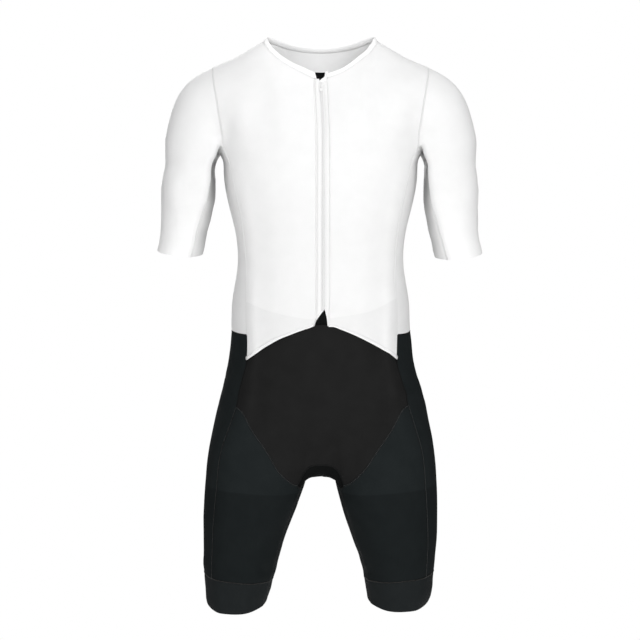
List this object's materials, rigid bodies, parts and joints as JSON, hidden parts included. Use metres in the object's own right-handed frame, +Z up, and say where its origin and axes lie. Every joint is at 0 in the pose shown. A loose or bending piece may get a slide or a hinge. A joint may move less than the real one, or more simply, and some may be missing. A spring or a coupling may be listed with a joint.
{
  "type": "triathlon suit",
  "caption": "One-piece short-sleeved triathlon suit with a front zip, a white top with a free curved front hem and a black fitted short lower half.",
  "frame": {"origin": "midway between the two shoulder-neck points, where the wearer's shoulders hold the suit up", "axes": "+Z up, -Y out of the front, +X to the wearer's left"},
  "size_m": [0.52, 0.2365, 0.914],
  "materials": {
    "white_knit": "matte",
    "black_knit": "matte",
    "zip_tape": "matte",
    "zip_coil": "satin",
    "zip_metal": "satin"
  },
  "bodies": {
    "suit": {"front_left": "white_knit", "front_right": "white_knit", "back": "white_knit", "side_left": "white_knit", "side_right": "white_knit", "sleeve_left": "white_knit", "sleeve_right": "white_knit", "undersleeve_left": "white_knit", "undersleeve_right": "white_knit", "neckband": "white_knit", "brief_front": "black_knit", "gusset": "black_knit", "hip_side_left": "black_knit", "hip_side_right": "black_knit", "thigh_front_left": "black_knit", "thigh_front_right": "black_knit", "seat_left": "black_knit", "seat_right": "black_knit", "leg_band_left": "black_knit", "leg_band_right": "black_knit", "zip_guard": "black_knit", "zip_tape_left": "zip_tape", "zip_tape_right": "zip_tape", "zip_coil": "zip_coil", "zip_slider": "zip_metal"},
    "pull": {"zip_pull": "zip_metal"}
  },
  "joints": [
    {"name": "pull_hinge", "type": "hinge", "parent": "suit", "child": "pull", "pos_m": [0.00078, -0.07461, -0.08156], "axis": [-1, 0, 0], "range_deg": [0, 150]}
  ]
}
